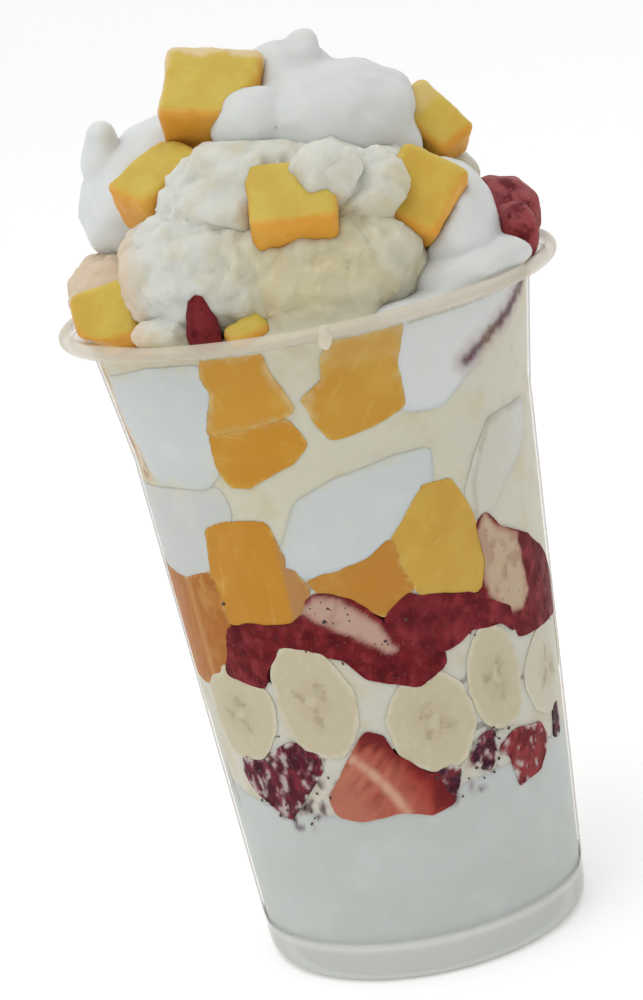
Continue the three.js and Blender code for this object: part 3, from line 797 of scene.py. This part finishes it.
# Mango cubes behind the wall: colour, and the turn of the fibres in degrees.
MANGO_AT_WALL = {
    "mango_wall_right": ((199, 161, 71), 70),
    "mango_wall_left": ((192, 134, 40), 10),
    "mango_wall_middle": ((184, 128, 48), 120),
    "mango_wall_far_left": ((164, 96, 20), 25),
    "mango_upper_left_low": ((193, 138, 38), 100),
    "mango_upper_left_high": ((197, 147, 52), 160),
    "mango_upper_front": ((195, 149, 56), 40),
    "mango_back_right": ((194, 142, 50), 60),
    "mango_back_middle": ((191, 136, 42), 130),
    "mango_back_left": ((196, 152, 60), 20),
    "mango_back_upper_right": ((194, 140, 46), 80),
    "mango_back_upper_left": ((194, 144, 50), 150),
}


def turned_local(local, degrees, seed):
    """The piece's own millimetres with its fibres turned, and moved so that no two pieces match."""
    a = math.radians(degrees)
    x = local[:, 0] * math.cos(a) - local[:, 1] * math.sin(a)
    y = local[:, 0] * math.sin(a) + local[:, 1] * math.cos(a)
    return np.stack([x, y, local[:, 2]], axis=1) + APART * seed


def make_wall_mango(node, colour, turn, seed):
    mesh, p, edge = at_wall(node, 0.6, 0.4, seed)
    local = local_frame(p, node)
    tint = tinted(colour, len(p))
    # Painted shade: the faces that turn away behind the wall get the deeper orange.
    shaded_side = ease((local[:, 2] - 0.3) / 1.5)
    blend(tint, MANGO_SHADED_SIDE, shaded_side)
    if node == "mango_upper_front":
        # Painted light: the upper face of this cube is lighter than its lower one.
        lit_upper_band = ease((local[:, 1] - 2.0) / 3.0)
        blend(tint, linear(199, 162, 86), lit_upper_band * 0.8)
    if node == "mango_wall_left":
        # Painted shade: the right side face, turned away, is darker and browner.
        blend(tint, linear(168, 128, 88), ease((azimuths(p) + 23.5) / 1.5) * 0.8)
    if node == "mango_wall_far_left":
        # Painted highlight: a light line on the edge between two faces.
        highlight_stripe = np.abs((azimuths(p) + 62) / 3.0)
        blend(tint, linear(200, 156, 96), ease(1 - highlight_stripe) * 0.4)
    melt = ease((1.8 - edge - 1.4 * waves(p, 3.0, seed + 5, 2)) / 1.6)
    if node in ("mango_upper_left_high", "mango_upper_left_low", "mango_upper_front"):
        blend(tint, linear(202, 182, 136), melt * ease((p[:, 2] - 113) / 5) * 0.6)
    put(mesh, local=turned_local(local, turn, seed), edge=edge, tint=tint)
    shown(node + "_soft", mesh, MANGO_LOOK, "mango", node)


for number, (node, (colour, turn)) in enumerate(MANGO_AT_WALL.items()):
    make_wall_mango(node, linear(*colour), turn, 60 + 2 * number)


# Mango cubes over the rim: centre, [width, height, depth], yaw, lift and roll as they lie.
CUBES = {
    "mango_top_left": ((-10.5, -8, 171.5), (18, 16.5, 14), 0, 50, 17),
    "mango_top_slab": ((-22.5, -15, 158.5), (16, 12, 11), -25, 62, -56),
    "mango_top_front": ((0.5, -31, 151.5), (16, 14.5, 14), 0, 50, 6),
    "mango_top_right": ((23.5, -23, 148.5), (13, 15, 12), 8, 28, 40),
    "mango_top_far_right": ((29, -1, 158.5), (14, 9, 11), 12, 32, 60),
    "mango_rim_left": ((-35.5, -16, 134.5), (14, 13, 14), -30, 35, -14),
    "mango_bit_rim_left": ((-27, -28, 132), (8, 6, 8), -35, 45, 0),
    "mango_bit_rim_front": ((-12, -36, 131.5), (8, 5, 8), 0, 50, -25),
    "mango_top_back_right": ((17, 25, 159), (16, 14, 13), 160, 48, 15),
    "mango_top_back_left": ((-18, 26, 155), (16, 15, 13), 205, 40, -22),
}


def cube_axes(yaw, lift, roll):
    """Rotation from the cube's own axes, width x height x shown normal, to the part's frame."""
    spin = Matrix.Rotation(math.radians(yaw), 3, "Z") @ Matrix.Rotation(math.radians(90 - lift), 3, "X")
    return np.array(spin @ Matrix.Rotation(math.radians(-roll), 3, "Z"))


def make_cube(node, centre, size, yaw, lift, roll, seed):
    mesh = remeshed(node, voxel_of(node, 0.55, 0.8), 2)
    p, n = read(mesh)
    p = p + n * (0.1 + 0.4 * waves(p, 6, seed) + 0.16 * waves(p, 2.0, seed + 1))[:, None]
    place_points(mesh, p)
    axes = cube_axes(yaw, lift, roll)
    local = (p - np.array(centre)) @ axes
    room = np.sort(np.abs(np.array(size) / 2 - np.abs(local)), axis=1)
    # Painted light: faces turned up are blended towards the paler yellow, and the rest keep a deeper orange
    # as painted shade.
    up = ease((n[:, 2] + 0.05) / 0.7)
    tint = tinted(linear(218, 158, 60), len(p))
    blend(tint, MANGO_LIT_TOP, up)
    if node == "mango_top_left":
        rough = waves(p, 3.0, seed + 5, 2)
        top = ease((local[:, 1] - 5.2 + rough) / 1.5)
        left = ease((-7.6 - local[:, 0] + rough) / 1.4)
        blend(tint, linear(222, 204, 170), np.maximum(top, left) * ease((local[:, 2] + 1) / 5) * 0.85)
    if node == "mango_top_far_right":
        blend(tint, linear(222, 206, 150), ease((-local[:, 0] - 1.0) / 2.0) * 0.5)
    put(mesh, edge=room[:, 1], local=turned_local(local, 20 + 31 * seed, seed), tint=tint)
    shown(node + "_soft", mesh, MANGO_LOOK, "mango", node)


for number, (node, facts) in enumerate(CUBES.items()):
    make_cube(node, *facts, 90 + 2 * number)


# Azimuth, height, half width, half height, lean and turn of the seed star.
BANANAS = {
    "banana_slice_front_left": (-22.5, 60, 9.2, 12.2, 16, 100),
    "banana_slice_front_right": (36.5, 56.5, 7.6, 11, 10, 80),
    "banana_slice_front_middle": (12.5, 52, 9.6, 10.6, 32, 40),
    "banana_slice_left": (-53, 57, 11.3, 10, 20, 70),
    "banana_slice_right": (64, 52.5, 10, 9.4, 0, 20),
    "banana_slice_back_right": (98, 57, 10, 11, -12, 50),
    "banana_slice_back_middle_right": (138, 54, 10.5, 10, 25, 10),
    "banana_slice_back_middle": (178, 58, 9.6, 11.5, -20, 90),
    "banana_slice_back_middle_left": (217, 54, 10.8, 10, 15, 30),
    "banana_slice_back_left": (256, 57, 10, 11, -8, 60),
}
SECTORS = 48


def make_banana_slice(node, azimuth, z, half_width, half_height, lean, star, seed):
    a = -math.radians(lean)

    def in_slice(p):
        """Places on the slice's face, -1 to 1 across it, and the same in millimetres along the wall."""
        flat = spread(p, azimuth)
        u, v = flat[:, 0], flat[:, 1] - z
        x = (u * math.cos(a) - v * math.sin(a)) / half_width
        y = (u * math.sin(a) + v * math.cos(a)) / half_height
        return x, y, u, v

    def rounded(p):
        """Turns the faceted outline into the slice's own smooth one, where neighbours leave room."""
        x, y, _, v = in_slice(p)
        size = np.hypot(x, y)
        turn = np.arctan2(y, x)
        place = (turn + math.pi) / (2 * math.pi) * SECTORS
        sector = place.astype(int) % SECTORS
        reach = np.array([size[sector == k].max(initial=0.6) for k in range(SECTORS)])
        reach = np.convolve(np.r_[reach[-1], reach, reach[0]], [0.25, 0.5, 0.25], mode="valid")
        at = np.interp(place - 0.5, np.arange(-1, SECTORS + 1), np.r_[reach[-1], reach, reach[0]])
        goal = 1.0 + 0.02 * np.cos(3 * turn + seed) + 0.012 * np.cos(5 * turn + 2 * seed)
        goal = np.clip(goal, at - 0.26, at + 0.16)
        grow = 1 + (goal / at - 1) * ease((size / at - 0.3) / 0.5)
        new_x, new_y = x * grow * half_width, y * grow * half_height
        new_u = new_x * math.cos(a) + new_y * math.sin(a)
        new_v = -new_x * math.sin(a) + new_y * math.cos(a)
        turned = np.radians(azimuth) + new_u / ROLLED_R
        r = np.hypot(p[:, 0], p[:, 1]) + inner(new_v + z) - inner(v + z)
        return np.stack([r * np.sin(turned), -r * np.cos(turned), new_v + z], axis=1)

    mesh, p, edge = at_wall(node, 0.6, 0.1, seed, rounded)
    x, y, u, v = in_slice(p)
    b = math.radians(star)
    depth = wall_depth(p)
    face = np.stack([x * math.cos(b) - y * math.sin(b), x * math.sin(b) + y * math.cos(b),
                     ease(1 - depth / 1.5)], axis=1)
    put(mesh, face=face, local=np.stack([u, v, depth], axis=1) + APART * seed, edge=edge)
    tint = tinted(BANANA, len(p))
    blend(tint, linear(188, 178, 148), ease(depth / 3))
    if node == "banana_slice_front_right":
        # The slice's turned left side: darker and browner, partly its own colour and partly painted shade.
        blend(tint, linear(184, 164, 128), ease((-x - 0.76) / 0.2) * 0.7)
    if node == "banana_slice_right":
        blend(tint, linear(204, 203, 190), 0.5 + 0.4 * ease(x / 0.8))
    put(mesh, tint=tint)
    shown(node + "_soft", mesh, BANANA_LOOK, "banana", node)


for number, (node, facts) in enumerate(BANANAS.items()):
    make_banana_slice(node, *facts, 120 + 2 * number)


FLESH_LEFT = [(-21, 79), (-15, 81), (-8, 80), (-2, 76), (2, 74), (4, 70), (6, 68), (2, 68), (-4, 71),
              (-11, 74), (-20, 78)]
FLESH_RIGHT = [(37, 86), (41, 89), (45, 85), (54, 82), (55, 76), (57, 70), (52, 67), (46, 68), (38, 73),
               (37, 80)]
CUT_FACES = {"strawberry_slice_left": (FLESH_LEFT, FLESH),
             "strawberry_slice_right": (FLESH_RIGHT, linear(188, 166, 140))}
WEDGE_CORE = [(-14, 47.5), (-10, 45.0), (-6.2, 42.0), (-3.0, 38.5), (-0.5, 35.4)]
WEDGE_TOP = [(-9, 53), (-3, 51), (4, 46), (11, 42), (14, 35.5)]


def make_red_at_wall(node, look, colour, seed):
    slot = "dark_berry" if look is BERRY_LOOK else "strawberry"
    mesh, p, edge = at_wall(node, 0.55, 0.45, seed)
    local = local_frame(p, node)
    flat = spread(p)
    tint = tinted(colour, len(p))
    flesh = np.zeros(len(p))
    mottle = waves(p, 2.8, seed + 9, 3)
    blend(tint, linear(146, 52, 58), ease((mottle - 0.1) / 0.25) * 0.5)
    blend(tint, linear(76, 14, 22), ease((-0.12 - mottle) / 0.25) * 0.5)
    if node in CUT_FACES:
        outline, tone = CUT_FACES[node]
        deep = signed_inside(flat, spread_outline(outline))
        flesh = ease((deep + 0.5 + 0.5 * waves(p, 2.4, seed + 3)) / 0.9)
        blend(tint, tone, flesh)
        blend(tint, linear(164, 108, 100), flesh * ease((1.3 - deep) / 1.5) * 0.6)
        blend(tint, linear(158, 122, 104), flesh * ease((waves(p, 3.0, seed + 6, 3) - 0.1) / 0.3) * 0.5)
    if "wedge" in node:
        if node == "strawberry_wedge_front":
            core = line_distance(flat, spread_outline(WEDGE_CORE))
            skin = line_distance(flat, spread_outline(WEDGE_TOP))
        else:
            core = np.hypot(local[:, 0] * 0.4, local[:, 1] + 1)
            skin = 6 - local[:, 1]
        slanted = [flat[:, 0] * 0.9 - flat[:, 1] * 0.9, flat[:, 0] * 0.25, p[:, 2] * 0.25]
        streaks = waves(np.stack(slanted, axis=1), 1.6, seed, 2)
        blend(tint, linear(182, 108, 88), ease(1 - (core - 1) / 6.5) * (0.6 + 0.5 * streaks))
        blend(tint, linear(206, 166, 142), ease(1 - (core + 0.5 * streaks) / 1.7) * 0.85)
        lower = -local[:, 0] - 0.5 * local[:, 1] - 1.5 + 3 * streaks
        blend(tint, linear(184, 120, 98), ease(lower / 9) * 0.75)
        blend(tint, linear(104, 24, 28), ease(1 - (skin - 0.6 + 1.2 * streaks) / 3.6) * 0.9)
        flesh = np.ones(len(p))
    if slot == "dark_berry" or node == "strawberry_piece_right":
        streaks = waves(p * np.array([1, 1, 0.6]), 1.7, seed + 4, 3)
        white = ease((streaks - 0.26) / 0.2) * 0.7
        ragged = ease((0.5 - edge - 1.7 * waves(p, 2.2, seed + 7, 2)) / 0.7)
        flesh = np.maximum(white, ragged)
        blend(tint, linear(150, 84, 96), ease((streaks - 0.06) / 0.2) * 0.5)
        blend(tint, linear(196, 188, 180), flesh)
    put(mesh, flesh=flesh, local=local + APART * seed, tint=tint)
    shown(node + "_soft", mesh, look, slot, node)


# Strawberry and dark fruit behind the wall: look and colour.
RED_AT_WALL = [
    ("strawberry_slice_left", RED_LOOK, RED_SKIN),
    ("strawberry_half_front", RED_LOOK, linear(118, 32, 38)),
    ("strawberry_slice_right", RED_LOOK, RED_SKIN),
    ("strawberry_wedge_front", WEDGE_LOOK, linear(156, 56, 46)),
    ("strawberry_piece_right", RED_LOOK, linear(140, 56, 58)),
    ("strawberry_slice_back_right", RED_LOOK, RED_SKIN),
    ("strawberry_slice_back_left", RED_LOOK, RED_SKIN),
    ("strawberry_wedge_back", WEDGE_LOOK, linear(156, 56, 46)),
    ("dark_berry_left", BERRY_LOOK, BERRY),
    ("dark_berry_front", BERRY_LOOK, PURPLE),
    ("dark_berry_right", BERRY_LOOK, PURPLE),
    ("dark_berry_far_right", BERRY_LOOK, PURPLE),
    ("dark_berry_back", BERRY_LOOK, BERRY),
]
for number, facts in enumerate(RED_AT_WALL):
    make_red_at_wall(*facts, 150 + 5 * number)


def make_red_on_top(node, colour, seed, extra=()):
    mesh = remeshed(node, 0.55, 8, extra)
    p, n = read(mesh)
    p = p + n * (0.3 + 0.5 * waves(p, 6, seed) + 0.15 * waves(p, 2, seed + 1))[:, None]
    place_points(mesh, p)
    tint = tinted(colour, len(p))
    flesh = np.zeros(len(p))
    if node == "strawberry_top_right":
        # Painted shadow: darker towards the rim, where the berry tapers into it.
        blend(tint, linear(96, 20, 26), ease((137 - p[:, 2]) / 6) * 0.8)
        notch = np.linalg.norm((p - np.array([33.4, -3.5, 134.5])) / np.array([3.2, 5.0, 4.2]), axis=1)
        flesh = ease((1.2 + 0.4 * waves(p, 3, seed + 2) - notch) / 0.3)
        blend(tint, linear(206, 170, 150), flesh)
        blend(tint, linear(176, 110, 112), ease((p[:, 2] - 138) / 6) * 0.35)
    put(mesh, flesh=flesh, local=p + APART * seed, tint=tint)
    shown(node + "_soft", mesh, RED_LOOK, "strawberry", node)


make_red_on_top("strawberry_top_right", linear(148, 62, 64), 230,
                [((40.0, -9, 136), (4.6, 6, 6)), ((41.2, -16.5, 138), (3.6, 4.5, 5.5))])
make_red_on_top("strawberry_bit_rim_front", linear(120, 38, 42), 233)
make_red_on_top("strawberry_top_back", linear(146, 52, 56), 236)


# ---------------------------------------------------------------- seeds, crumbs and drips


def small_things(name, things, material, slot, rows=1):
    """One mesh of little ellipsoids: [centre, radii, turn about the axis that looks outwards]."""
    bm = bmesh.new()
    for centre, radii, turn in things:
        flat = Vector((centre[0], centre[1], 0)).normalized()
        out = Matrix((Vector((0, 0, 1)).cross(flat), Vector((0, 0, 1)), flat)).transposed().to_4x4()
        place = Matrix.Translation(Vector(centre) * MM) @ out @ Matrix.Rotation(turn, 4, "Z")
        place = place @ Matrix.Diagonal((*[r * MM for r in radii], 1))
        bmesh.ops.create_icosphere(bm, subdivisions=rows, radius=1, matrix=place)
    mesh = poured(bm, bpy.data.meshes.new(name))
    p = points_of(mesh)
    put(mesh, local=p, tint=tinted(linear(206, 198, 180), len(p)))
    shown(name, mesh, material, slot)


MOST_TRIES = 4000
EDGE_GAP, SEED_GAP = 0.6, 1.1  # least distance from the outline, and from one seed to the next


def scatter(rng, outline, count, size, reach):
    """Seeds at random places inside an outline on the wall."""
    flat = spread_outline(outline)
    xs, zs = zip(*flat)
    found = []
    tries = 0
    while len(found) < count and tries < MOST_TRIES:
        tries += 1
        x, z = rng.uniform(min(xs), max(xs)), rng.uniform(min(zs), max(zs))
        if signed_inside(np.array([[x, z]]), flat)[0] < EDGE_GAP:
            continue
        if any(math.hypot(x - a, z - b) < SEED_GAP for a, b in found):
            continue
        found.append((x, z))
    seeds = []
    for x, z in found:
        s = size * rng.uniform(0.75, 1.25)
        place = on_wall(math.degrees(x / ROLLED_R), z, reach)
        seeds.append((place, (0.62 * s, s, 0.2), rng.uniform(-1.2, 1.2)))
    return seeds


rng = random.Random(5)
black = scatter(rng, FLESH_LEFT, 12, 0.32, 0.18) + scatter(rng, FLESH_RIGHT, 10, 0.3, 0.18)
for azimuth, z, size in ((-13.6, 76.0, 0.6), (-11.8, 78.5, 0.35), (2.8, 70.2, 0.45), (9.9, 73.5, 0.45),
                         (-46.2, 80.3, 0.5)):
    black.append((on_wall(azimuth, z, 0.2), (size, size * 0.8, 0.25), rng.uniform(-1, 1)))
black += scatter(rng, LEFT_BERRY_FIELD, 38, 0.42, 0.36)
black += scatter(rng, RIGHT_BERRY_FIELD, 16, 0.4, 0.36)
small_things("black_seeds", black, SEED, "dark_berry")

# Strawberry skin that shows behind the wall, and how many seeds it has.
SKIN_FIELDS = [
    ([(-56, 66), (-47, 75), (-24, 78), (-11, 73), (8, 67), (17, 66), (9, 60), (-30, 72), (-38, 63.5)], 60),
    ([(4, 69), (6, 76), (16, 77), (37, 72.5), (47, 69), (42, 66), (16, 65)], 36),
    ([(58, 80), (75, 73), (86, 64), (83, 60.5), (56, 62.5), (60, 70)], 36),
]
skin_seeds = []
for outline, count in SKIN_FIELDS:
    skin_seeds += scatter(rng, outline, count, 0.34, 0.16)
small_things("strawberry_seeds", skin_seeds, ACHENE, "strawberry")

small_things("rim_drip", [((1.4, -48.5, 131.5), (1.3, 2.3, 0.8), 0)], ICE_LOOK, "ice_cream", rows=3)


# ---------------------------------------------------------------- floor, light and camera


def make_floor():
    """Pale floor that curves up into a backdrop."""
    verts, faces = [], []
    back, bend = 1.2, 0.6
    path = [(-3.0, 0.0), (back, 0.0)]
    for step in range(1, 13):
        turn = math.radians(90 * step / 12)
        path.append((back + bend * math.sin(turn), bend - bend * math.cos(turn)))
    path.append((back + bend, 4.0))
    for y, z in path:
        verts += [(-4.0, y, z), (4.0, y, z)]
    for i in range(len(path) - 1):
        faces.append((2 * i, 2 * i + 1, 2 * i + 3, 2 * i + 2))
    mesh = bpy.data.meshes.new("floor")
    mesh.from_pydata(verts, [], faces)
    mesh.polygons.foreach_set("use_smooth", [True] * len(faces))
    s = Shader("floor", Roughness=0.8, Base_Color=(0.95, 0.95, 0.95, 1), Emission_Color=(1, 1, 1, 1),
               Emission_Strength=0.22)
    mesh.materials.append(s.material)
    floor = added("floor", mesh)


def make_light(name, place, target, size, power):
    light = bpy.data.lights.new(name, "AREA")
    light.shape = "DISK"
    light.size = size
    light.energy = power
    lamp = added(name, light)
    lamp.location = place
    lamp.rotation_euler = (Vector(target) - Vector(place)).to_track_quat("-Z", "Y").to_euler()


SENSOR = 36
FOCAL = 3.073  # focal length as a share of the sensor's width


def make_camera():
    """The photograph's view: from a little above, with the cup's top leaning to the left."""
    yaw, pitch, roll = (math.radians(a) for a in (-0.5, -13.99, 11.19))
    ahead = Vector((math.sin(yaw) * math.cos(pitch), math.cos(yaw) * math.cos(pitch), math.sin(pitch)))
    level = ahead.cross(Vector((0, 0, 1))).normalized()
    upright = level.cross(ahead)
    right = level * math.cos(roll) - upright * math.sin(roll)
    up = level * math.sin(roll) + upright * math.cos(roll)
    data = bpy.data.cameras.new("camera")
    data.sensor_width = SENSOR
    data.lens = FOCAL * SENSOR
    data.clip_start = 0.05
    data.clip_end = 20
    camera = added("camera", data)
    turn = Matrix((right, up, -ahead)).transposed().to_4x4()
    camera.matrix_world = Matrix.Translation((0, -0.5878, 0.2366)) @ turn
    bpy.context.scene.camera = camera


def make_world():
    world = bpy.data.worlds.new("studio")
    world.use_nodes = True
    sky = world.node_tree.nodes["Background"]
    sky.inputs["Color"].default_value = (1, 1, 1, 1)
    sky.inputs["Strength"].default_value = 0.6
    bpy.context.scene.world = world


make_floor()
make_world()
make_light("overhead", (-0.2, -0.3, 1.2), (0, 0, 0.1), 1.1, 5.2)
make_light("key", (-0.5, -0.7, 0.9), (0, 0, 0.1), 0.9, 0.8)
make_camera()
scene = bpy.context.scene
scene.view_settings.view_transform = "Standard"
scene.view_settings.look = "None"
scene.render.film_transparent = False

bpy.context.view_layer.update()
